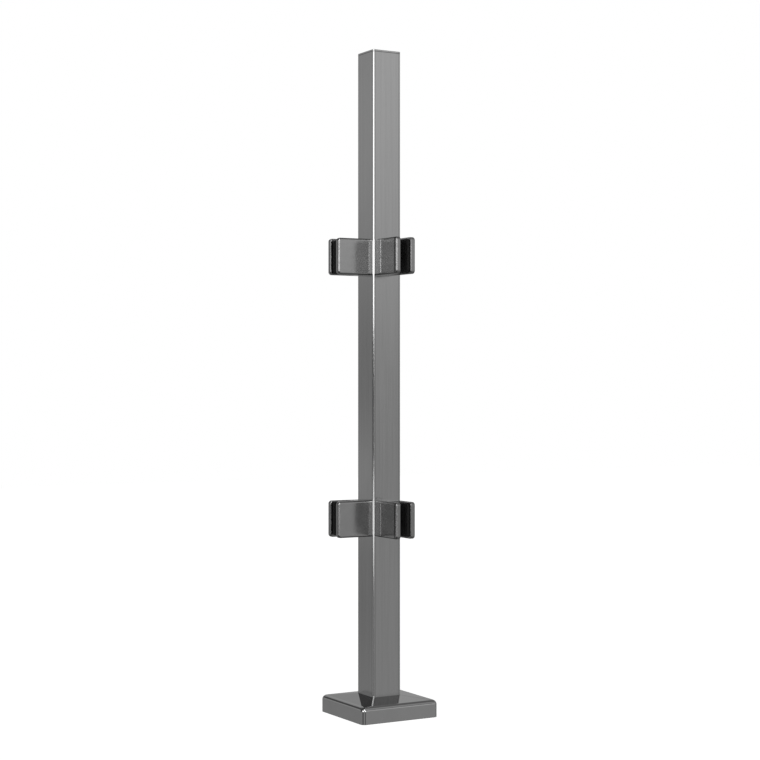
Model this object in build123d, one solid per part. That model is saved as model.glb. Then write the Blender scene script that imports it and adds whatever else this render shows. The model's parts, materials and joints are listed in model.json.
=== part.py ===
from build123d import *
import os

# A 90 degree corner post for a glass balustrade.
# The origin is on the post's axis at floor level and +Z is up.
# Two glass clamps stand on the -X face (left) and two on the -Y face (right).
# All sizes are in millimetres.

# Post: 2 in square tube, 42 in high over the cap
POST_WIDTH = 50.8
POST_WALL = 2.0
POST_CORNER = 2.5
POST_HEIGHT = 1066.8
POST_INSIDE = POST_WIDTH - 2 * POST_WALL
POST_INSIDE_CORNER = POST_CORNER - POST_WALL

# Cap: a flush plate on a hollow spigot that is driven into the tube
CAP_THICKNESS = 3.0
CAP_CHAMFER = 0.4
SPIGOT_GAP = 0.05
SPIGOT_DEPTH = 18.0
SPIGOT_WALL = 2.5

# Seams: small chamfers on both sides of a joint leave a groove
SEAM_CHAMFER = 0.3

# Floor flange
PLATE_WIDTH = 120.0
PLATE_THICKNESS = 10.0
PLATE_CORNER = 8.0
PLATE_CHAMFER = 0.8
ANCHOR_SPACING = 90.0
ANCHOR_HOLE = 12.0
WELD_LEG = 4.0

# Cover: a pressed sheet with a low pyramid top
COVER_WIDTH = 139.0
COVER_CORNER = 7.5
COVER_EDGE_HEIGHT = 26.5
COVER_PEAK_HEIGHT = 32.5
COVER_ROUNDING = 7.0
COVER_SHEET = 1.5
COVER_GAP = 0.4

# Clamps
CLAMP_LENGTH = 59.0
CLAMP_HEIGHT = 58.0
CLAMP_BLOCK = 24.0
CLAMP_SLOT = 18.0
CLAMP_JAW = 8.75
CLAMP_THICKNESS = CLAMP_SLOT + 2 * CLAMP_JAW
CLAMP_TIP_CORNER = 5.0
CLAMP_OUTER_ROUNDING = 3.0
CLAMP_INNER_ROUNDING = 1.6
UPPER_CLAMP_HEIGHT = 735.5
LOWER_CLAMP_HEIGHT = 317.5

# Gaskets: ribbed rubber pads for 12 mm glass
GLASS_THICKNESS = 12.0
GASKET_RECESS = 1.0
GASKET_LIP = 5.5
GASKET_SIDE_LIP = 2.5
GASKET_CORNER = 4.0
GASKET_GAP = 0.1
RIB_HEIGHT = 0.6
RIB_WIDTH = 1.6
RIB_COUNT = 6

# M6 countersunk jaw screws, square to the glass
JAW_SCREW_RADIUS = 3.0
JAW_SCREW_LENGTH = 25.0
JAW_SCREW_HEAD_RADIUS = 5.8
JAW_SCREW_HEAD_DEPTH = 3.3
JAW_SCREW_RIM = 0.5
JAW_SCREW_SINK = 0.15
JAW_SCREW_SOCKET = 4.0
JAW_SCREW_SOCKET_DEPTH = 2.4
JAW_SCREW_OUT = 12.0
JAW_SCREW_SPACING = 38.0
JAW_SCREW_HOLE_RADIUS = 3.3
THREAD_GAP = 0.05

# M6 cap screws and washers that hold a clamp on the post
MOUNT_SCREW_RADIUS = 3.0
MOUNT_SCREW_LENGTH = 30.0
MOUNT_SCREW_SPACING = 18.0
MOUNT_SCREW_HEAD_RADIUS = 5.0
MOUNT_SCREW_HEAD_HEIGHT = 6.0
MOUNT_SCREW_SOCKET = 5.0
MOUNT_SCREW_SOCKET_DEPTH = 3.0
MOUNT_SCREW_HOLE_RADIUS = 3.3
COUNTERBORE_RADIUS = 6.25
COUNTERBORE_DEPTH = 8.5
WASHER_RADIUS = 6.0
WASHER_HOLE_RADIUS = 3.2
WASHER_THICKNESS = 1.2

# M6 rivet nuts in the tube wall
NUT_RADIUS = 4.5
NUT_HOLE_RADIUS = 4.55
NUT_FLANGE_RADIUS = 6.0
NUT_FLANGE_THICKNESS = 0.8
NUT_BULGE_RADIUS = 6.0
NUT_BULGE_LENGTH = 3.0
NUT_DEPTH = 14.0
NUT_RECESS_RADIUS = 6.3
NUT_RECESS_DEPTH = 0.9


def rounded_bar(width, corner, low, high):
    """A square bar with rounded corners, upright between two heights."""
    return Pos(0, 0, low) * extrude(RectangleRounded(width, width, corner), high - low)


def along_x(radius, start, end):
    """A cylinder on the X axis between two distances."""
    return Pos((start + end) / 2, 0, 0) * Rot(0, 90, 0) * Cylinder(radius, end - start)


def hexagon_socket(across_flats, depth):
    """A hexagonal pocket that opens at z = 0 and goes down."""
    outline = RegularPolygon(across_flats / 2, 6, major_radius=False)
    return extrude(outline, -depth)


def slab(x_low, x_high, y_low, y_high):
    """A block taller than a clamp, for cutting one into pieces."""
    size = Box(x_high - x_low, y_high - y_low, 2 * CLAMP_HEIGHT)
    return Pos((x_low + x_high) / 2, (y_low + y_high) / 2, 0) * size


# A clamp is drawn with X out of the post, its jaw plate on +Y and its centre at z = 0.
# On the -X face it is turned upside down, so that the jaw plate faces +Y there too.
LEFT_FACE = Pos(-POST_WIDTH / 2, 0, 0) * Rot(0, 180, 0)
RIGHT_FACE = Pos(0, -POST_WIDTH / 2, 0) * Rot(0, 0, -90)
CLAMP_PLACES = {
    "upper_left": Pos(0, 0, UPPER_CLAMP_HEIGHT) * LEFT_FACE,
    "upper_right": Pos(0, 0, UPPER_CLAMP_HEIGHT) * RIGHT_FACE,
    "lower_left": Pos(0, 0, LOWER_CLAMP_HEIGHT) * LEFT_FACE,
    "lower_right": Pos(0, 0, LOWER_CLAMP_HEIGHT) * RIGHT_FACE,
}


def pair(spacing):
    """The two heights of a pair of screws, about a clamp's centre."""
    return [-spacing / 2, spacing / 2]


def post_tube():
    top = POST_HEIGHT - CAP_THICKNESS
    outside = rounded_bar(POST_WIDTH, POST_CORNER, PLATE_THICKNESS, top)
    outside = chamfer(outside.faces().sort_by(Axis.Z)[-1].edges(), SEAM_CHAMFER)
    inside = rounded_bar(POST_INSIDE, POST_INSIDE_CORNER, PLATE_THICKNESS, top)
    tube = outside - inside
    for place in CLAMP_PLACES.values():
        for height in pair(MOUNT_SCREW_SPACING):
            tube -= place * Pos(0, 0, height) * along_x(NUT_HOLE_RADIUS, -2 * POST_WALL, POST_WALL)
    return tube


def top_cap():
    under = POST_HEIGHT - CAP_THICKNESS
    plate = rounded_bar(POST_WIDTH, POST_CORNER, under, POST_HEIGHT)
    plate = chamfer(plate.faces().sort_by(Axis.Z)[-1].edges(), CAP_CHAMFER)
    plate = chamfer(plate.faces().sort_by(Axis.Z)[0].edges(), SEAM_CHAMFER)
    spigot_width = POST_INSIDE - 2 * SPIGOT_GAP
    spigot = rounded_bar(spigot_width, POST_INSIDE_CORNER, under - SPIGOT_DEPTH, under)
    hollow_width = spigot_width - 2 * SPIGOT_WALL
    hollow = rounded_bar(hollow_width, POST_INSIDE_CORNER, under - SPIGOT_DEPTH, under)
    return plate + (spigot - hollow)


def base_plate():
    plate = rounded_bar(PLATE_WIDTH, PLATE_CORNER, 0, PLATE_THICKNESS)
    plate = chamfer(plate.faces().sort_by(Axis.Z)[-1].edges(), PLATE_CHAMFER)
    hole = Pos(0, 0, PLATE_THICKNESS / 2) * Cylinder(ANCHOR_HOLE / 2, 2 * PLATE_THICKNESS)
    for spot in GridLocations(ANCHOR_SPACING, ANCHOR_SPACING, 2, 2):
        plate -= spot * hole
    return plate


def base_weld():
    toe = RectangleRounded(POST_WIDTH + 2 * WELD_LEG, POST_WIDTH + 2 * WELD_LEG, POST_CORNER + WELD_LEG)
    crown_width = POST_WIDTH + 0.1 * WELD_LEG
    crown = RectangleRounded(crown_width, crown_width, POST_CORNER)
    top = PLATE_THICKNESS + WELD_LEG
    bead = loft([Pos(0, 0, PLATE_THICKNESS) * toe, Pos(0, 0, top) * crown])
    return bead - rounded_bar(POST_WIDTH, POST_CORNER, PLATE_THICKNESS, top)


def cover_form(inset):
    """The cover's outer form, or with an inset the space inside its sheet."""
    width = COVER_WIDTH - 2 * inset
    corner = COVER_CORNER - inset
    edge = COVER_EDGE_HEIGHT - inset
    hole_width = POST_WIDTH + 2 * COVER_GAP
    foot = RectangleRounded(width, width, corner)
    neck = RectangleRounded(hole_width, hole_width, POST_CORNER + COVER_GAP)
    walls = extrude(foot, edge)
    roof = loft([Pos(0, 0, edge) * foot, Pos(0, 0, COVER_PEAK_HEIGHT - inset) * neck])
    form = walls + roof
    eaves = form.edges().filter_by(lambda e: abs(e.center().Z - edge) < 0.01)
    return fillet(eaves, COVER_ROUNDING - inset)


def base_cover():
    hole_width = POST_WIDTH + 2 * COVER_GAP
    hole = rounded_bar(hole_width, POST_CORNER + COVER_GAP, 0, 2 * COVER_PEAK_HEIGHT)
    return cover_form(0) - cover_form(COVER_SHEET) - hole


def clamp_envelope():
    """A clamp's whole outside: round tip corners and rounded outer rims."""
    outline = Pos(CLAMP_LENGTH / 2, 0) * Rectangle(CLAMP_LENGTH, CLAMP_HEIGHT)
    outline = fillet(outline.vertices().sort_by(Axis.X)[-2:], CLAMP_TIP_CORNER)
    whole = extrude(Plane.XZ * outline, CLAMP_THICKNESS / 2, both=True)
    side = CLAMP_THICKNESS / 2
    rims = whole.edges().filter_by(lambda e: abs(abs(e.center().Y) - side) < 0.01 and e.center().X > 0.01)
    return fillet(rims, CLAMP_OUTER_ROUNDING)


def grooved(block):
    """A part of the block with its upper and lower edges on the jaw plate's seam chamfered."""
    inner = CLAMP_SLOT / 2
    half = CLAMP_HEIGHT / 2
    seam = block.edges().filter_by(lambda e: abs(e.center().Y - inner) < 0.01 and abs(e.center().Z) > half - 0.01)
    return chamfer(seam, SEAM_CHAMFER)


def jaw_tip():
    """The part of the +Y jaw beyond the block, with a rounded inner rim."""
    inner = CLAMP_SLOT / 2
    tip = clamp_envelope() & slab(CLAMP_BLOCK, 2 * CLAMP_LENGTH, inner, CLAMP_THICKNESS)
    rim = tip.edges().filter_by(lambda e: abs(e.center().Y - inner) < 0.01 and e.center().X > CLAMP_BLOCK + 0.01)
    return fillet(rim, CLAMP_INNER_ROUNDING)


def gasket_outline(margin):
    """A pad's outline in the plane of the glass, drawn smaller by a margin."""
    length = CLAMP_LENGTH - GASKET_LIP - CLAMP_BLOCK
    height = CLAMP_HEIGHT - 2 * GASKET_SIDE_LIP
    outline = Rectangle(length - 2 * margin, height - 2 * margin)
    outline = fillet(outline.vertices().sort_by(Axis.X)[-2:], GASKET_CORNER)
    return Pos(CLAMP_BLOCK + length / 2, 0) * outline


def gasket_recess():
    depth = CLAMP_SLOT / 2 + GASKET_RECESS
    return mirror(extrude(Plane.XZ * gasket_outline(0), depth), Plane.XZ)


def jaw_screw_spots():
    """Where the jaw screws' heads lie, with z out of the jaw plate."""
    face = Pos(JAW_SCREW_OUT, CLAMP_THICKNESS / 2, 0) * Rot(-90, 0, 0)
    return [Pos(0, 0, height) * face for height in pair(JAW_SCREW_SPACING)]


def mount_screw_spots():
    return [Pos(0, 0, height) for height in pair(MOUNT_SCREW_SPACING)]


def clamp_body():
    inner = CLAMP_SLOT / 2
    block = grooved(clamp_envelope() & slab(0, CLAMP_BLOCK, -CLAMP_THICKNESS, inner))
    jaw = mirror(jaw_tip(), Plane.XZ) - mirror(gasket_recess(), Plane.XZ)
    body = block + jaw
    floor = CLAMP_BLOCK - COUNTERBORE_DEPTH
    for spot in mount_screw_spots():
        body -= spot * along_x(MOUNT_SCREW_HOLE_RADIUS, -1, CLAMP_BLOCK)
        body -= spot * along_x(COUNTERBORE_RADIUS, floor, CLAMP_BLOCK + 1)
        body -= spot * along_x(NUT_RECESS_RADIUS, -1, NUT_RECESS_DEPTH)
    depth = JAW_SCREW_LENGTH + 1
    for spot in jaw_screw_spots():
        body -= spot * Pos(0, 0, -depth / 2) * Cylinder(JAW_SCREW_RADIUS + THREAD_GAP, depth)
    return body


def jaw_plate():
    inner = CLAMP_SLOT / 2
    root = grooved(clamp_envelope() & slab(0, CLAMP_BLOCK, inner, CLAMP_THICKNESS))
    plate = root + (jaw_tip() - gasket_recess())
    sink = JAW_SCREW_HEAD_RADIUS - JAW_SCREW_RADIUS
    wide = JAW_SCREW_HEAD_RADIUS + JAW_SCREW_SINK
    narrow = wide - sink
    rim = JAW_SCREW_RIM + JAW_SCREW_SINK
    for spot in jaw_screw_spots():
        plate -= spot * Pos(0, 0, -CLAMP_JAW / 2) * Cylinder(JAW_SCREW_HOLE_RADIUS, 2 * CLAMP_JAW)
        plate -= spot * Pos(0, 0, -rim - sink / 2) * Cone(narrow, wide, sink)
        plate -= spot * Pos(0, 0, -rim / 2) * Cylinder(wide, rim)
    return plate


def gasket():
    """The jaw plate's pad, with ribs that run up and down."""
    back = CLAMP_SLOT / 2 + GASKET_RECESS
    front = GLASS_THICKNESS / 2 + RIB_HEIGHT
    pad = mirror(extrude(Plane.XZ * gasket_outline(GASKET_GAP), back), Plane.XZ)
    pad -= slab(0, 2 * CLAMP_LENGTH, -1, front)
    length = CLAMP_LENGTH - GASKET_LIP - CLAMP_BLOCK
    pitch = length / RIB_COUNT
    height = CLAMP_HEIGHT - 2 * GASKET_SIDE_LIP - 2 * GASKET_CORNER
    for number in range(RIB_COUNT):
        middle = CLAMP_BLOCK + pitch * (number + 0.5)
        section = Pos(middle, front) * Ellipse(RIB_WIDTH / 2, RIB_HEIGHT)
        pad += Pos(0, 0, -height / 2) * extrude(section, height)
    return pad


def jaw_screw():
    """A countersunk screw with its head's face at z = 0 and its shank below."""
    cone = JAW_SCREW_HEAD_RADIUS - JAW_SCREW_RADIUS
    head = Pos(0, 0, -JAW_SCREW_RIM / 2) * Cylinder(JAW_SCREW_HEAD_RADIUS, JAW_SCREW_RIM)
    head += Pos(0, 0, -JAW_SCREW_RIM - cone / 2) * Cone(JAW_SCREW_RADIUS, JAW_SCREW_HEAD_RADIUS, cone)
    screw = head + Pos(0, 0, -JAW_SCREW_LENGTH / 2) * Cylinder(JAW_SCREW_RADIUS, JAW_SCREW_LENGTH)
    screw -= hexagon_socket(JAW_SCREW_SOCKET, JAW_SCREW_SOCKET_DEPTH)
    return Pos(0, 0, -JAW_SCREW_SINK) * screw


def mount_screw():
    """A cap screw on the X axis: its head bears on the washer, its shank goes into the post."""
    under_head = CLAMP_BLOCK - COUNTERBORE_DEPTH + WASHER_THICKNESS
    top = under_head + MOUNT_SCREW_HEAD_HEIGHT
    shank = along_x(MOUNT_SCREW_RADIUS, under_head - MOUNT_SCREW_LENGTH, under_head)
    head = along_x(MOUNT_SCREW_HEAD_RADIUS, under_head, top)
    socket = hexagon_socket(MOUNT_SCREW_SOCKET, MOUNT_SCREW_SOCKET_DEPTH)
    return shank + head - Pos(top, 0, 0) * Rot(0, 90, 0) * socket


def mount_washer():
    seat = CLAMP_BLOCK - COUNTERBORE_DEPTH
    return along_x(WASHER_RADIUS, seat, seat + WASHER_THICKNESS) - along_x(WASHER_HOLE_RADIUS, 0, CLAMP_BLOCK)


def rivet_nut():
    """Flange outside the tube wall, upset bulge inside it, and a threaded tail."""
    nut = along_x(NUT_FLANGE_RADIUS, 0, NUT_FLANGE_THICKNESS)
    nut += along_x(NUT_RADIUS, -NUT_DEPTH, 0)
    nut += along_x(NUT_BULGE_RADIUS, -POST_WALL - NUT_BULGE_LENGTH, -POST_WALL)
    return nut - along_x(MOUNT_SCREW_RADIUS + THREAD_GAP, -NUT_DEPTH - 1, NUT_FLANGE_THICKNESS + 1)


def clamp_pieces():
    """Every piece of one clamp, in the clamp's own frame."""
    pad = gasket()
    return {
        "clamp_body": clamp_body(),
        "jaw_plate": jaw_plate(),
        "fixed_gasket": mirror(pad, Plane.XZ),
        "plate_gasket": pad,
        "jaw_screws": Compound([spot * jaw_screw() for spot in jaw_screw_spots()]),
        "mount_screws": Compound([spot * mount_screw() for spot in mount_screw_spots()]),
        "mount_washers": Compound([spot * mount_washer() for spot in mount_screw_spots()]),
        "rivet_nuts": Compound([spot * rivet_nut() for spot in mount_screw_spots()]),
    }


def build():
    nodes = {
        "post_tube": post_tube(),
        "top_cap": top_cap(),
        "base_plate": base_plate(),
        "base_weld": base_weld(),
        "base_cover": base_cover(),
    }
    pieces = clamp_pieces()
    for side, place in CLAMP_PLACES.items():
        for name, shape in pieces.items():
            nodes[f"{side}_{name}"] = place * shape
    return nodes


os.makedirs("parts", exist_ok=True)
for node, shape in build().items():
    export_step(shape, f"parts/{node}.step")
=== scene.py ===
import json
import math

import bmesh
import bpy
from mathutils import Matrix, Vector


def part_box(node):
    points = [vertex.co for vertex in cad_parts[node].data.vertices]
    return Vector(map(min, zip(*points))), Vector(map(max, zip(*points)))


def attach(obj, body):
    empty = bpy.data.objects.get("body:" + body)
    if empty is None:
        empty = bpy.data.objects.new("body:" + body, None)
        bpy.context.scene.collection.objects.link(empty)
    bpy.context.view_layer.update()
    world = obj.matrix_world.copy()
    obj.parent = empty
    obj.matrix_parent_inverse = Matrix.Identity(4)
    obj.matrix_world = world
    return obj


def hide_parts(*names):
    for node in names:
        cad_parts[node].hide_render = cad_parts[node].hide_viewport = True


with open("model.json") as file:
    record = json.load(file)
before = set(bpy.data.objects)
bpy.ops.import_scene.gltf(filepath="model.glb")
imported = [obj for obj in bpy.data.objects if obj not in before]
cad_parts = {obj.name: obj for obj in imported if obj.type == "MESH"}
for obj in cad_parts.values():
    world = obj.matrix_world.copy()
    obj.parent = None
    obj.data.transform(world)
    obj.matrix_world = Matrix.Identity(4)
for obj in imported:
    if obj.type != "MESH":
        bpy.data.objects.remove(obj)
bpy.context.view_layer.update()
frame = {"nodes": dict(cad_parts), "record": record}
nodes = frame["nodes"]


def middle_height(node):
    """The height of a node's centre."""
    low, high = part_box(node)
    return (low[2] + high[2]) / 2


# The post's own sizes, read from the frame
POST_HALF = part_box("post_tube")[1][0]
TUBE_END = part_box("post_tube")[1][2]
POST_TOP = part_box("top_cap")[1][2]
PLATE_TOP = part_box("base_plate")[1][2]
CLAMP_LOW, CLAMP_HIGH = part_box("upper_left_clamp_body")
CLAMP_HALF_HEIGHT = (CLAMP_HIGH[2] - CLAMP_LOW[2]) / 2
CLAMP_TIP = -CLAMP_LOW[0]
CLAMP_SIDE = -CLAMP_LOW[1]
SLOT_SIDE = CLAMP_HIGH[1]
UPPER_CLAMP = middle_height("upper_left_clamp_body")
LOWER_CLAMP = middle_height("lower_left_clamp_body")

# The camera stands level, at half the post's height, and sees the -X and the -Y face.
CAMERA_AZIMUTH = math.radians(-30.07)
CAMERA_DISTANCE = 2.8205
CAMERA_HEIGHT = 0.539
CAMERA_SIDE = 0.0016
CAMERA_LENS = 82.77
SENSOR = 36.0


def make_camera():
    data = bpy.data.cameras.new("camera")
    data.lens = CAMERA_LENS
    data.sensor_width = SENSOR
    camera = bpy.data.objects.new("camera", data)
    bpy.context.scene.collection.objects.link(camera)
    back = Vector((math.sin(CAMERA_AZIMUTH), -math.cos(CAMERA_AZIMUTH), 0))
    side = Vector((math.cos(CAMERA_AZIMUTH), math.sin(CAMERA_AZIMUTH), 0))
    camera.location = back * CAMERA_DISTANCE + side * CAMERA_SIDE + Vector((0, 0, CAMERA_HEIGHT))
    camera.rotation_euler = (math.pi / 2, 0, CAMERA_AZIMUTH)
    bpy.context.scene.camera = camera


make_camera()


class Graph:
    """A node tree with short calls for adding and joining nodes."""

    def __init__(self, tree):
        self.tree = tree
        tree.nodes.clear()

    def add(self, kind, inputs=None, **settings):
        node = self.tree.nodes.new(kind)
        for name, value in settings.items():
            setattr(node, name, value)
        for name, value in (inputs or {}).items():
            self.put(node.inputs[name], value)
        return node

    def put(self, socket, value):
        if isinstance(value, bpy.types.NodeSocket):
            self.tree.links.new(value, socket)
        else:
            socket.default_value = value

    def math(self, operation, *values, clamp=False):
        node = self.add("ShaderNodeMath", operation=operation, use_clamp=clamp)
        for socket, value in zip(node.inputs, values):
            self.put(socket, value)
        return node.outputs[0]

    def axes(self, place):
        """x, y and z of a vector."""
        return self.add("ShaderNodeSeparateXYZ", {"Vector": place}).outputs

    def plus(self, first, *rest):
        for value in rest:
            first = self.math("ADD", first, value)
        return first

    def smooth(self, value, low, high, to_low=0.0, to_high=1.0):
        """A smooth step from to_low to to_high as value goes from low to high."""
        node = self.add("ShaderNodeMapRange", interpolation_type="SMOOTHSTEP")
        for name, given in (("Value", value), ("From Min", low), ("From Max", high),
                            ("To Min", to_low), ("To Max", to_high)):
            self.put(node.inputs[name], given)
        return node.outputs["Result"]

    def mix(self, factor, first, second):
        """Mixes two numbers."""
        node = self.add("ShaderNodeMix", data_type="FLOAT")
        self.put(node.inputs[0], factor)
        self.put(node.inputs[2], first)
        self.put(node.inputs[3], second)
        return node.outputs[0]

    def tint(self, factor, first, second):
        """Mixes two colours."""
        node = self.add("ShaderNodeMix", data_type="RGBA")
        self.put(node.inputs[0], factor)
        self.put(node.inputs[6], first)
        self.put(node.inputs[7], second)
        return node.outputs[2]

    def noise(self, place, size, stretch=(1, 1, 1), detail=3.0, roughness=0.55):
        """Noise from 0 to 1 whose features are about size metres across, longer where stretch is over 1."""
        scale = tuple(1 / (size * s) for s in stretch)
        spread = self.add("ShaderNodeMapping", {"Vector": place, "Scale": scale}).outputs[0]
        node = self.add("ShaderNodeTexNoise", {"Vector": spread, "Scale": 1.0, "Detail": detail,
                                               "Roughness": roughness})
        return node.outputs["Fac"]


# ---- The studio ----

LAMP_AZIMUTH = math.radians(-120)
LAMP_ELEVATION = math.radians(42)
LAMP_INNER = math.radians(13)
LAMP_OUTER = math.radians(18)
LAMP_LEVEL = 3.0
DARKEST = 0.03
FLOOR_SIZE = 12
FLOOR_GREY = 0.3
FLOOR_GLOW = 0.93


def studio_world():
    """A studio of grey panels for the metal to reflect, against a white backdrop for the camera.

    A panel's level changes with the height above the horizon, as a tangent. Azimuths are in degrees from +X.
    """
    world = bpy.data.worlds.new("studio")
    bpy.context.scene.world = world
    world.use_nodes = True
    g = Graph(world.node_tree)
    place = g.add("ShaderNodeTexCoord").outputs["Generated"]
    x, y, z = g.axes(place)
    across = g.math("SQRT", g.plus(g.math("MULTIPLY", x, x), g.math("MULTIPLY", y, y)))
    across = g.math("MAXIMUM", across, 0.001)
    height = g.math("DIVIDE", z, across)

    def lobe(azimuth, inner, outer):
        """1 within inner degrees of an azimuth and 0 beyond outer degrees."""
        a = math.radians(azimuth)
        dot = g.plus(g.math("MULTIPLY", x, math.cos(a)), g.math("MULTIPLY", y, math.sin(a)))
        facing = g.math("DIVIDE", dot, across)
        return g.smooth(facing, math.cos(math.radians(outer)), math.cos(math.radians(inner)))

    def band(centre, half_width, change, core=0.0):
        """A change about a height, whole within core of it and gone past half_width."""
        away = g.math("ABSOLUTE", g.math("SUBTRACT", height, centre))
        return g.smooth(away, core, half_width, change, 0.0)

    def step(low, high, change):
        """A change that comes in as the height goes from low to high."""
        return g.smooth(height, low, high, 0.0, change)

    underneath = step(-0.3, -0.6, -0.16)
    level = g.plus(0.3, step(-0.04, 0.06, 0.04), step(0.34, 0.42, 0.09), step(0.5, 0.9, -0.26), underneath)
    right = g.plus(0.365, step(0.0, 0.055, 0.15), step(0.05, 0.19, 0.14), step(0.22, 0.42, -0.42),
                   step(0.5, 0.7, 0.14), underneath)
    left = g.plus(0.25, step(0.0, 0.13, 0.17), step(0.19, 0.3, -0.32), band(-0.055, 0.05, 0.13),
                  step(-0.13, -0.18, 0.05), underneath)
    gap = g.plus(0.07, step(-0.1, -0.14, 0.25), underneath)
    behind = g.plus(0.28, step(0.02, 0.055, 0.31), step(0.2, 0.6, -0.48), step(-0.1, -0.14, 0.08), underneath)
    strip = g.plus(0.04, step(0.019, 0.036, 3.0), band(-0.081, 0.034, 1.8, 0.018), step(0.3, 0.6, -3.0),
                   step(-0.1, -0.14, 0.1), underneath)
    panels = (
        (right, -60, 24, 34),
        (left, 120, 16, 26),
        (gap, 156, 18, 23),
        (behind, -120, 26, 34),
        (strip, -98, 9, 14),
        (strip, -155, 13, 20),
    )
    for panel, azimuth, inner, outer in panels:
        level = g.mix(lobe(azimuth, inner, outer), level, panel)

    lamp = Vector((math.cos(LAMP_AZIMUTH), math.sin(LAMP_AZIMUTH), math.tan(LAMP_ELEVATION))).normalized()
    toward = g.add("ShaderNodeVectorMath", {0: place, 1: lamp}, operation="DOT_PRODUCT").outputs["Value"]
    level = g.plus(level, g.smooth(toward, math.cos(LAMP_OUTER), math.cos(LAMP_INNER), 0.0, LAMP_LEVEL))
    level = g.math("MAXIMUM", level, DARKEST)
    colour = g.add("ShaderNodeCombineXYZ", {"X": level, "Y": level, "Z": level}).outputs[0]
    studio = g.add("ShaderNodeBackground", {"Color": colour, "Strength": 1.0})
    white = g.add("ShaderNodeBackground", {"Color": (1, 1, 1, 1), "Strength": 1.0})
    seen = g.add("ShaderNodeLightPath").outputs["Is Camera Ray"]
    both = g.add("ShaderNodeMixShader", {0: seen, 1: studio.outputs[0], 2: white.outputs[0]})
    g.add("ShaderNodeOutputWorld", {"Surface": both.outputs[0]})


def make_floor():
    """A plain pale floor that doesn't show in the metal."""
    bpy.ops.mesh.primitive_plane_add(size=FLOOR_SIZE)
    floor = bpy.context.object
    floor.name = "floor"
    material, g, place = new_material("pale_floor")
    diffuse = g.add("ShaderNodeBsdfDiffuse", {"Color": (FLOOR_GREY, FLOOR_GREY, FLOOR_GREY, 1)})
    glow = g.add("ShaderNodeEmission", {"Color": (1, 1, 1, 1), "Strength": FLOOR_GLOW})
    both = g.add("ShaderNodeAddShader", {0: diffuse.outputs[0], 1: glow.outputs[0]})
    g.add("ShaderNodeOutputMaterial", {"Surface": both.outputs[0]})
    floor.data.materials.append(material)
    floor.visible_glossy = False


# ---- Materials: every pattern is laid out in metres in the post's own frame ----

TUBE_GREY = 0.5
# Painted highlight: the lighter grey of the tube's edges
EDGE_HIGHLIGHT_GREY = 0.62
# Painted reflection: the lighter grey of the tube's faces beside the clamps
CLAMP_SIDE_REFLECTION_GREY = 0.78
SEAM_GREY = 0.2
COVER_GREY = 0.5
CLAMP_GREY = 0.48
# Painted shade: the darker grey of the clamps' rims
RIM_SHADE_GREY = 0.15
STRAW_TINT = (0.42, 0.27, 0.13, 1)
BLUE_TINT = (0.16, 0.17, 0.3, 1)


def new_material(name):
    """A material, its graph and its object coordinates."""
    material = bpy.data.materials.new(name)
    material.use_nodes = True
    g = Graph(material.node_tree)
    return material, g, g.add("ShaderNodeTexCoord").outputs["Object"]


def grey(g, level, warmth=0.0):
    """A colour of a level, a little warmer than grey where warmth is over 0."""
    red = g.math("MULTIPLY", level, 1 + warmth)
    blue = g.math("MULTIPLY", level, 1 - warmth)
    return g.add("ShaderNodeCombineColor", {"Red": red, "Green": level, "Blue": blue}).outputs[0]


def vary(g, noise, amount, low=0.3, high=0.7):
    """A change from -amount to amount as a noise goes from low to high."""
    return g.smooth(noise, low, high, -amount, amount)


def absolute_axes(g, place):
    """|x|, |y| and z."""
    x, y, z = g.axes(place)
    return g.math("ABSOLUTE", x), g.math("ABSOLUTE", y), z


def edge_band(g, faces, reach):
    """1 along the edges where two faces meet, given each point's depth under every face, and 0 past reach."""
    near = [g.smooth(depth, 0.0, reach, 1.0, 0.0) for depth in faces]
    return g.math("SUBTRACT", g.plus(*near), 1.0, clamp=True)


def depth(g, face, value):
    """How far a coordinate lies inside a face."""
    return g.math("ABSOLUTE", g.math("SUBTRACT", face, value))


def clamp_height(g, z):
    """How far a height is from the centre of the nearer clamps."""
    folded = g.math("ABSOLUTE", g.math("SUBTRACT", z, (UPPER_CLAMP + LOWER_CLAMP) / 2))
    return g.math("ABSOLUTE", g.math("SUBTRACT", folded, (UPPER_CLAMP - LOWER_CLAMP) / 2))


def finish_metal(g, level, roughness, bumps):
    """A metal shader: bumps is a list of (height, depth in metres)."""
    settings = {"Base Color": grey(g, level), "Metallic": 1.0, "Roughness": roughness}
    for height, distance in bumps:
        inputs = {"Height": height, "Distance": distance, "Strength": 1.0}
        if "Normal" in settings:
            inputs["Normal"] = settings["Normal"]
        settings["Normal"] = g.add("ShaderNodeBump", inputs).outputs[0]
    shader = g.add("ShaderNodeBsdfPrincipled", settings)
    g.add("ShaderNodeOutputMaterial", {"Surface": shader.outputs[0]})


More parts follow.
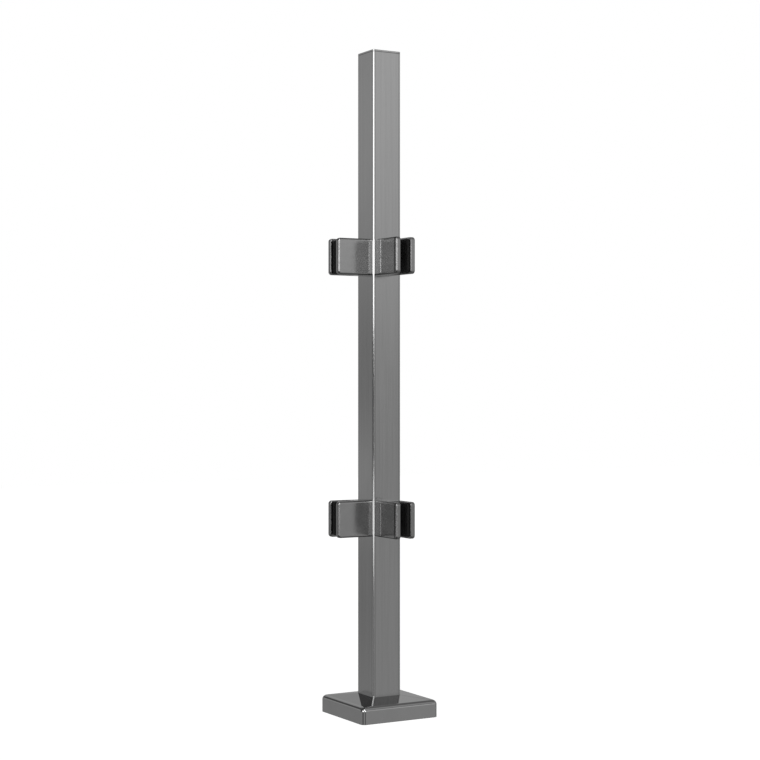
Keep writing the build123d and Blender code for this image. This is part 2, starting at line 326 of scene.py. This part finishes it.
def post_metal():
    """Satin tube: fine grain, broader streaks and smudges, polished edges with a painted highlight and a
    painted dark reflection line beside them, and painted reflections beside the clamps.
    """
    material, g, place = new_material("post_gunmetal")
    grain = g.noise(place, 0.0005, (1, 1, 160), 2.0)
    streaks = g.noise(place, 0.005, (1, 1, 70), 3.0)
    smudges = g.noise(place, 0.06, (1, 1, 1.6), 4.0, 0.65)
    x, y, z = absolute_axes(g, place)
    under_x, under_y = depth(g, POST_HALF, x), depth(g, POST_HALF, y)
    # Painted highlight: the tube's vertical edges get a lighter grey that stands in for a brighter edge
    # reflection; the same mask also makes them polished
    edge_highlight_mask = edge_band(g, [under_x, under_y], 0.0036)
    rim = g.smooth(depth(g, POST_TOP, z), 0.0, 0.0012, 0.5, 0.0)
    # Painted shade: a darker line on the flats just beside the vertical edges, standing in for a dark
    # reflection
    line = g.smooth(depth(g, 0.0036, g.math("MAXIMUM", under_x, under_y)), 0.0006, 0.0014, 0.8, 1.0)
    seam = g.smooth(depth(g, TUBE_END, z), 0.0002, 0.0005, 1.0, 0.0)

    # Painted reflection: lighter strips on the tube beside the clamps, on the two faces that carry clamps
    beside = g.smooth(g.math("MINIMUM", x, y), CLAMP_SIDE - 0.0006, CLAMP_SIDE)
    level_with = g.smooth(clamp_height(g, z), CLAMP_HALF_HEIGHT - 0.0015, CLAMP_HALF_HEIGHT, 1.0, 0.0)
    signed_x, signed_y, _ = g.axes(place)
    facing = g.smooth(g.math("MINIMUM", signed_x, signed_y), -POST_HALF, -POST_HALF + 0.001, 1.0, 0.0)
    clamp_side_reflection = g.math("MULTIPLY", g.math("MULTIPLY", beside, level_with), facing)

    level = g.plus(TUBE_GREY, vary(g, grain, 0.014), vary(g, streaks, 0.016, 0.25, 0.75))
    level = g.math("MULTIPLY", g.mix(clamp_side_reflection, level, CLAMP_SIDE_REFLECTION_GREY), line)
    # Painted highlight: the vertical edges take the lighter edge grey, and the top rim takes the same grey
    level = g.mix(g.math("MAXIMUM", edge_highlight_mask, rim), level, EDGE_HIGHLIGHT_GREY)
    level = g.mix(seam, level, SEAM_GREY)
    rough = g.plus(0.13, vary(g, grain, 0.02), g.smooth(smudges, 0.4, 0.75, 0.0, 0.05))
    rough = g.mix(edge_highlight_mask, rough, 0.05)
    finish_metal(g, level, rough, [(streaks, 0.000004), (grain, 0.0000006)])
    return material


def cover_metal():
    """Mirror-polished pressed sheet: faint draw waves, buffing haze, and darker along its lowest edge."""
    material, g, place = new_material("cover_gunmetal")
    waves = g.noise(place, 0.018, detail=1.5)
    haze = g.noise(place, 0.03, detail=4.0, roughness=0.7)
    swirl = g.noise(place, 0.0007, (4, 1, 1), 2.0)
    rim = g.smooth(g.axes(place)[2], 0.0, 0.0012, 0.35, 0.0)
    level = g.plus(COVER_GREY, vary(g, haze, 0.012), vary(g, swirl, 0.006))
    level = g.mix(rim, level, 0.3)
    rough = g.plus(0.035, g.smooth(haze, 0.45, 0.8, 0.0, 0.05))
    finish_metal(g, level, rough, [(waves, 0.00003), (swirl, 0.0000003)])
    return material


def clamp_metal():
    """Polished castings: slow ripples in the reflections, buffing haze, and painted shade on the rims, the
    tip ends and the right-hand clamps' sides.
    """
    material, g, place = new_material("clamp_gunmetal")
    ripples = g.noise(place, 0.014, (1, 1, 0.8), 1.5)
    haze = g.noise(place, 0.02, detail=4.0, roughness=0.7)
    swirl = g.noise(place, 0.0006, (1, 1, 5), 2.0)
    # Painted shade: noise that breaks up the darker rims
    rim_shade_noise = g.smooth(g.noise(place, 0.006), 0.3, 0.7, 0.7, 1.0)

    # A point's depth under its clamp's tip, side, slot side, and top or bottom, whichever clamp it is on
    x, y, z = absolute_axes(g, place)
    tip = depth(g, CLAMP_TIP, g.math("MAXIMUM", x, y))
    side = depth(g, CLAMP_SIDE, g.math("MINIMUM", x, y))
    slot = depth(g, SLOT_SIDE, g.math("SUBTRACT", CLAMP_SIDE, side))
    top = depth(g, CLAMP_HALF_HEIGHT, clamp_height(g, z))

    # Painted shade: the clamps' outer and slot rims are darker, standing in for the dark reflections along
    # their edges and dimming their edge highlights
    outer_rim = edge_band(g, [tip, side, top], 0.0034)
    slot_rim = edge_band(g, [tip, slot, top], 0.0026)
    rim_shade = g.math("MAXIMUM", outer_rim, slot_rim)
    # Painted shade: the tip end faces are darker
    ends = g.smooth(tip, 0.0004, 0.0014, 0.8, 1.0)
    # Painted shade: the right-hand clamps' side faces are a little darker, with a dark line near the tip
    # beside the rounded edge
    on_right = g.smooth(g.math("SUBTRACT", y, x), 0.0, 0.001)
    on_side = g.math("MULTIPLY", g.smooth(side, 0.0002, 0.0006, 1.0, 0.0), on_right)
    side_shade = g.math("MULTIPLY", g.smooth(depth(g, 0.0048, tip), 0.0012, 0.0022, 0.75, 0.14), on_side)

    level = g.plus(CLAMP_GREY, vary(g, haze, 0.012), vary(g, swirl, 0.008))
    level = g.mix(g.math("MULTIPLY", rim_shade, rim_shade_noise), level, RIM_SHADE_GREY)
    # Painted shade on the tip ends and on the right-hand clamps' side faces
    level = g.math("MULTIPLY", level, g.math("MULTIPLY", ends, g.math("SUBTRACT", 1.0, side_shade)))
    rough = g.plus(0.15, g.smooth(haze, 0.4, 0.8, 0.0, 0.07))
    finish_metal(g, level, rough, [(ripples, 0.00009), (swirl, 0.0000004)])
    return material


def bare_steel():
    """Mill-finish plate: mottled scale, rolling lines, and heat tint round the weld."""
    material, g, place = new_material("mill_steel")
    scale = g.noise(place, 0.012, detail=6.0, roughness=0.7)
    lines = g.noise(place, 0.0006, (60, 1, 1), 2.0)
    pits = g.noise(place, 0.0012, detail=2.0)
    x, y, _ = absolute_axes(g, place)
    out = g.math("SUBTRACT", g.math("MAXIMUM", x, y), POST_HALF)
    heat = g.smooth(g.plus(out, vary(g, scale, 0.002)), 0.004, 0.011, 1.0, 0.0)
    fringe = g.smooth(depth(g, 0.0065, out), 0.0, 0.0018, 1.0, 0.0)
    plain = grey(g, g.plus(0.5, g.smooth(scale, 0.3, 0.7, -0.1, 0.08), vary(g, lines, 0.03)), 0.02)
    straw = g.tint(g.math("MULTIPLY", heat, 0.65), plain, STRAW_TINT)
    colour = g.tint(g.math("MULTIPLY", fringe, 0.7), straw, BLUE_TINT)
    rough = g.plus(0.28, g.smooth(scale, 0.3, 0.7, -0.06, 0.12))
    coarse = g.add("ShaderNodeBump", {"Height": pits, "Distance": 0.00003, "Strength": 1.0}).outputs[0]
    fine = g.add("ShaderNodeBump", {"Height": lines, "Distance": 0.00001, "Strength": 1.0,
                                    "Normal": coarse}).outputs[0]
    shader = g.add("ShaderNodeBsdfPrincipled", {"Base Color": colour, "Metallic": 1.0, "Roughness": rough,
                                                "Normal": fine})
    g.add("ShaderNodeOutputMaterial", {"Surface": shader.outputs[0]})
    return material


def screw_steel():
    """Bright fasteners: fine turning marks, oil in patches."""
    material, g, place = new_material("screw_steel")
    turning = g.noise(place, 0.00025, detail=2.0)
    oil = g.noise(place, 0.004, detail=4.0, roughness=0.65)
    level = g.plus(0.55, vary(g, turning, 0.03), g.smooth(oil, 0.45, 0.7, 0.0, -0.14))
    rough = g.plus(0.16, g.smooth(turning, 0.3, 0.7, -0.03, 0.05), g.smooth(oil, 0.4, 0.7, 0.0, 0.08))
    finish_metal(g, level, rough, [(turning, 0.000004)])
    return material


def rubber():
    """Matt black rubber: fine mould texture and a little pale dust."""
    material, g, place = new_material("black_rubber")
    grain = g.noise(place, 0.0005, detail=4.0, roughness=0.6)
    dust = g.noise(place, 0.006, detail=5.0, roughness=0.7)
    level = g.plus(0.008, g.smooth(dust, 0.5, 0.8, 0.0, 0.009), vary(g, grain, 0.003))
    rough = g.plus(0.6, g.smooth(dust, 0.4, 0.7, 0.0, 0.25))
    normal = g.add("ShaderNodeBump", {"Height": grain, "Distance": 0.00006, "Strength": 1.0}).outputs[0]
    shader = g.add("ShaderNodeBsdfPrincipled", {"Base Color": grey(g, level), "Roughness": rough,
                                                "Specular IOR Level": 0.22, "Normal": normal})
    g.add("ShaderNodeOutputMaterial", {"Surface": shader.outputs[0]})
    return material


SLOTS = {row["node"]: row["material_slot"] for row in frame["record"]["subparts"]}
MATERIALS = {
    "post_metal": post_metal(),
    "cover_metal": cover_metal(),
    "clamp_metal": clamp_metal(),
    "bare_steel": bare_steel(),
    "screw_steel": screw_steel(),
    "rubber": rubber(),
}
for name, node in nodes.items():
    node.data.materials.clear()
    node.data.materials.append(MATERIALS[SLOTS[name]])


# ---- Detailed pieces that stand for plain CAD nodes ----

# A clamp's own axes: out of the post, across towards its jaw plate, and along the post
CLAMP_TURNS = {
    "left": Matrix(((-1, 0, 0), (0, 1, 0), (0, 0, -1))),
    "right": Matrix(((0, 1, 0), (-1, 0, 0), (0, 0, 1))),
}
CLAMPS = ("upper_left", "upper_right", "lower_left", "lower_right")


def clamp_centre(side):
    return Vector((0, 0, UPPER_CLAMP if side.startswith("upper") else LOWER_CLAMP))


def clamp_box(side, piece):
    """A node's lowest and highest corner in its clamp's own axes, with heights about the clamp's centre."""
    turn = CLAMP_TURNS[side.split("_")[1]].transposed()
    corners = [turn @ (Vector(corner) - clamp_centre(side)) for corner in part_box(f"{side}_{piece}")]
    low = Vector(min(values) for values in zip(*corners))
    high = Vector(max(values) for values in zip(*corners))
    return low, high


def clamp_place(side):
    """The matrix from a clamp's own axes to the post's frame."""
    return Matrix.Translation(clamp_centre(side)) @ CLAMP_TURNS[side.split("_")[1]].to_4x4()


def add_piece(name, vertices, faces, node, body, sharp_angle):
    """A mesh piece in the post's frame that replaces a CAD node and rides on its body."""
    mesh = bpy.data.meshes.new(name)
    mesh.from_pydata([tuple(v) for v in vertices], [], faces)
    mesh.validate()
    mesh.shade_smooth()
    mesh.set_sharp_from_angle(angle=math.radians(sharp_angle))
    piece = bpy.data.objects.new(name, mesh)
    bpy.context.scene.collection.objects.link(piece)
    mesh.materials.append(MATERIALS[SLOTS[node]])
    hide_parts(node)
    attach(piece, body)
    return piece


def face_outwards(piece):
    """Turns every face outwards."""
    work = bmesh.new()
    work.from_mesh(piece.data)
    bmesh.ops.recalc_face_normals(work, faces=work.faces)
    work.to_mesh(piece.data)
    work.free()


def skin(rings, closed=False):
    """Vertices and faces through rings of equal length. An open row of rings ends in a point at each end."""
    count = len(rings[0])
    vertices = [point for ring in rings for point in ring]
    pairs = list(zip(range(len(rings)), range(1, len(rings))))
    if closed:
        pairs.append((len(rings) - 1, 0))
    faces = []
    for first, second in pairs:
        for i in range(count):
            j = (i + 1) % count
            faces.append((first * count + i, first * count + j, second * count + j, second * count + i))
    if not closed:
        for ring, turned in ((0, True), (len(rings) - 1, False)):
            middle = sum((Vector(p) for p in rings[ring]), Vector()) / count
            vertices.append(tuple(middle))
            tip = len(vertices) - 1
            for i in range(count):
                edge = (ring * count + i, ring * count + (i + 1) % count)
                faces.append((*(edge[::-1] if turned else edge), tip))
    return vertices, faces


# Screws are turned about their own Z axis, with the head's face at z = 0 and the shank below it.
RING_POINTS = 36
SCREW_RADIUS = 0.003
THREAD_PITCH = 0.001
THREAD_DEPTH = 0.0006
THREAD_ROWS = 5
SOCKET_CHAMFER = 0.0002
POINT_CHAMFER = 0.0008
JAW_HEAD_RIM = 0.0005
JAW_SOCKET_FLATS = 0.004
JAW_SOCKET_DEPTH = 0.0024
MOUNT_HEAD_HEIGHT = 0.006
MOUNT_SOCKET_FLATS = 0.005
MOUNT_SOCKET_DEPTH = 0.003
KNURL_DEPTH = 0.00012
KNURL_END = 0.0008
SCREW_SHARP_ANGLE = 32.0


def ring(radius, height, wave=None):
    """A ring of points; wave changes the radius with the angle."""
    points = []
    for i in range(RING_POINTS):
        angle = 2 * math.pi * i / RING_POINTS
        r = radius + (wave(angle) if wave else 0.0)
        points.append((r * math.cos(angle), r * math.sin(angle), height))
    return points


def hexagon(flats, height):
    """A ring on a hexagon of a given width across its flats."""
    def wave(angle):
        turned = (angle + math.pi / 6) % (math.pi / 3) - math.pi / 6
        return flats / 2 / math.cos(turned)
    return ring(0.0, height, wave)


def threaded(start, end):
    """Rings of a right-hand thread from one height down to another, with a run-out at each end."""
    rings = []
    count = int(round((start - end) / THREAD_PITCH * THREAD_ROWS))
    for row in range(count + 1):
        height = start + (end - start) * row / count
        fade = min(1.0, 2.0 * row / THREAD_ROWS, 2.0 * (count - row) / THREAD_ROWS)

        def wave(angle, height=height, fade=fade):
            turn = (height / THREAD_PITCH - angle / (2 * math.pi)) % 1.0
            return -THREAD_DEPTH * fade * (1 - abs(2 * turn - 1))
        rings.append(ring(SCREW_RADIUS, height, wave))
    return rings


def socket_rings(flats, deep):
    """The rings of a hexagon socket from its drilled bottom up to a small chamfer of its rim."""
    return [ring(flats * 0.2, -deep * 1.12), hexagon(flats, -deep), hexagon(flats, -SOCKET_CHAMFER),
            hexagon(flats + 1.6 * SOCKET_CHAMFER, 0.0)]


def countersunk_screw(head, length):
    """The rings of a countersunk screw of a given head radius and whole length."""
    shoulder = -JAW_HEAD_RIM - (head - SCREW_RADIUS)
    rings = socket_rings(JAW_SOCKET_FLATS, JAW_SOCKET_DEPTH)
    rings += [ring(head - 0.0004, 0.0), ring(head - 0.00012, -0.00008), ring(head, -0.0003)]
    rings += [ring(head, -JAW_HEAD_RIM), ring(SCREW_RADIUS, shoulder)]
    rings += threaded(shoulder - 0.0004, -length + POINT_CHAMFER)
    rings += [ring(SCREW_RADIUS - THREAD_DEPTH, -length)]
    return rings


def cap_screw(head, length):
    """The rings of a knurled cap screw of a given head radius and length under its head."""
    def knurl(angle):
        return -KNURL_DEPTH * (0.5 + 0.5 * math.cos(angle * RING_POINTS / 2))
    under = -MOUNT_HEAD_HEIGHT
    rings = socket_rings(MOUNT_SOCKET_FLATS, MOUNT_SOCKET_DEPTH)
    rings += [ring(head - 0.0007, 0.0), ring(head - 0.0002, -0.0002)]
    rings += [ring(head, -KNURL_END, knurl), ring(head, under + KNURL_END, knurl)]
    rings += [ring(head - 0.0002, under + 0.0003), ring(head - 0.0006, under), ring(SCREW_RADIUS, under)]
    rings += threaded(under - 0.001, under - length + POINT_CHAMFER)
    rings += [ring(SCREW_RADIUS - THREAD_DEPTH, under - length)]
    return rings


def screw_pair(side, piece, body, rings, places):
    """Two screws as one piece."""
    vertices, faces = [], []
    for place in places:
        own, own_faces = skin(rings)
        start = len(vertices)
        vertices += [clamp_place(side) @ (place @ Vector(v)) for v in own]
        faces += [tuple(start + i for i in face) for face in own_faces]
    add_piece(f"{side}_{piece}_threaded", vertices, faces, f"{side}_{piece}", body, SCREW_SHARP_ANGLE)


HEAD_AT_PLATE = Matrix.Rotation(math.radians(-90), 4, "X")
HEAD_AT_MOUTH = Matrix.Rotation(math.radians(90), 4, "Y")


def jaw_screws(side):
    """The two screws that hold a jaw plate, with their heads in its outer face."""
    low, high = clamp_box(side, "jaw_screws")
    head = (high.x - low.x) / 2
    out = (low.x + high.x) / 2
    places = []
    for height in (low.z + head, high.z - head):
        places.append(Matrix.Translation((out, high.y, height)) @ HEAD_AT_PLATE)
    screw_pair(side, "jaw_screws", f"{side}_jaw", countersunk_screw(head, high.y - low.y), places)


def mount_screws(side):
    """The two screws that hold a clamp to the post, with their heads at the bottom of its slot."""
    low, high = clamp_box(side, "mount_screws")
    head = (high.y - low.y) / 2
    places = []
    for height in (low.z + head, high.z - head):
        places.append(Matrix.Translation((high.x, 0, height)) @ HEAD_AT_MOUTH)
    length = high.x - low.x - MOUNT_HEAD_HEIGHT
    screw_pair(side, "mount_screws", "post", cap_screw(head, length), places)


# Moulded rubber gaskets
GASKET_CORNER = 0.0039
GASKET_EDGE = 0.0005
GASKET_EDGE_STEPS = 3
GASKET_STEPS_OUT = 90
GASKET_STEPS_UP = 24
GASKET_SHARP_ANGLE = 60.0
RIBS = 6
RIB_HEIGHT = 0.0006
RIB_HALF_WIDTH = 0.0009
RIB_END_GAP = 0.0035
RIB_END_FADE = 0.002


def spread(length, edge, steps):
    """Distances from 0 to length with close steps over the edge at both ends."""
    close = [edge * i / GASKET_EDGE_STEPS for i in range(GASKET_EDGE_STEPS)]
    inner = [edge + (length - 2 * edge) * i / steps for i in range(steps + 1)]
    return close + inner + [length - c for c in reversed(close)]


def bulge(radius, along):
    """How far a circle of a radius reaches at a distance along it from its centre."""
    return math.sqrt(max(radius ** 2 - along ** 2, 0.0))


def gasket(side, piece, body):
    """A moulded gasket: ribs up and down that fade out, a rounded rim and two round outer corners."""
    low, high = clamp_box(side, piece)
    length, thickness, half = high.x - low.x, high.y - low.y, (high.z - low.z) / 2
    outward = -1 if low.y < 0 else 1
    front = min(abs(low.y), abs(high.y))
    pitch = length / RIBS
    rings = []
    for out in spread(length, GASKET_EDGE, GASKET_STEPS_OUT):
        into_corner = max(0.0, out - (length - GASKET_CORNER))
        reach = half - GASKET_CORNER + bulge(GASKET_CORNER, into_corner)
        from_rib = abs((out % pitch) - pitch / 2) / RIB_HALF_WIDTH
        rib = bulge(1.0, from_rib)
        front_row, back_row = [], []
        for share in spread(2, GASKET_EDGE / half, GASKET_STEPS_UP):
            up = (share - 1) * reach
            border = min(out, length - out, reach - abs(up))
            rim = GASKET_EDGE - bulge(GASKET_EDGE, max(GASKET_EDGE - border, 0.0))
            fade = min(1.0, max(0.0, (half - RIB_END_GAP - abs(up)) / RIB_END_FADE))
            face = front + RIB_HEIGHT * (1 - rib * fade) + rim
            front_row.append((low.x + out, outward * face, up))
            back_row.append((low.x + out, outward * (front + thickness), up))
        rings.append(front_row + back_row[::-1])
    vertices = [point for row in rings for point in row]
    size = len(rings[0])
    faces = []
    for i in range(len(rings) - 1):
        for j in range(size):
            k = (j + 1) % size
            faces.append((i * size + j, i * size + k, (i + 1) * size + k, (i + 1) * size + j))
    for end in (0, len(rings) - 1):
        base = end * size
        for j in range(size // 2 - 1):
            quad = (base + j, base + j + 1, base + size - 2 - j, base + size - 1 - j)
            faces.append(quad if end else quad[::-1])
    placed = [clamp_place(side) @ Vector(v) for v in vertices]
    node = f"{side}_{piece}"
    face_outwards(add_piece(f"{node}_ribbed", placed, faces, node, body, GASKET_SHARP_ANGLE))


# The weld bead, with the crescent ripples of a hand-laid weld
WELD_RIPPLE = 0.0021
WELD_RIPPLE_STEPS = 6
WELD_RIPPLE_DEPTH = 0.1
WELD_BOW = 0.35
WELD_HOLLOW = 1.25
WELD_ARC_STEPS = 8
WELD_WANDER = 0.015
WELD_WANDER_RATE = 190.0
WELD_SHARP_ANGLE = 70.0
TUBE_CORNER = 0.0025
TUBE_CORNER_STEPS = 8


def tube_outline(step):
    """Points about a step apart round the tube: each with its outward direction and distance along."""
    points = []
    straight = POST_HALF - TUBE_CORNER
    arc = TUBE_CORNER * math.pi / 2
    along = 0.0
    for quarter in range(4):
        turn = Matrix.Rotation(quarter * math.pi / 2, 3, "Z")
        count = int(round(2 * straight / step))
        for i in range(count):
            y = -straight + 2 * straight * i / count
            points.append((turn @ Vector((POST_HALF, y, 0)), turn @ Vector((1, 0, 0)), along + y + straight))
        along += 2 * straight
        centre = Vector((straight, straight, 0))
        for i in range(TUBE_CORNER_STEPS):
            angle = math.pi / 2 * i / TUBE_CORNER_STEPS
            direction = Vector((math.cos(angle), math.sin(angle), 0))
            place = centre + TUBE_CORNER * direction
            points.append((turn @ place, turn @ direction, along + arc * i / TUBE_CORNER_STEPS))
        along += arc
    return points


def weld_bead():
    low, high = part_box("base_weld")
    leg = high[0] - POST_HALF
    rise = high[2] - low[2]
    rings = []
    for wall, outward, along in tube_outline(WELD_RIPPLE / WELD_RIPPLE_STEPS):
        points = [wall + Vector((0, 0, PLATE_TOP))]
        for i in range(WELD_ARC_STEPS + 1):
            angle = math.pi / 2 * i / WELD_ARC_STEPS
            swell = math.sin(2 * angle)
            phase = (along / WELD_RIPPLE + WELD_BOW * swell) % 1.0
            crest = 1.0 - WELD_RIPPLE_DEPTH * swell * abs(2 * phase - 1) ** 1.5
            crest *= 1.0 - WELD_WANDER + WELD_WANDER * math.sin(along * WELD_WANDER_RATE)
            reach = leg * math.cos(angle) ** WELD_HOLLOW * crest
            lift = rise * math.sin(angle) ** WELD_HOLLOW * crest
            points.append(wall + outward * reach + Vector((0, 0, PLATE_TOP + lift)))
        rings.append(points)
    vertices, faces = skin(rings, closed=True)
    face_outwards(add_piece("weld_bead", vertices, faces, "base_weld", "post", WELD_SHARP_ANGLE))


for side in CLAMPS:
    jaw_screws(side)
    mount_screws(side)
    gasket(side, "fixed_gasket", "post")
    gasket(side, "plate_gasket", f"{side}_jaw")
weld_bead()

studio_world()
make_floor()
bpy.context.scene.view_settings.view_transform = "Standard"
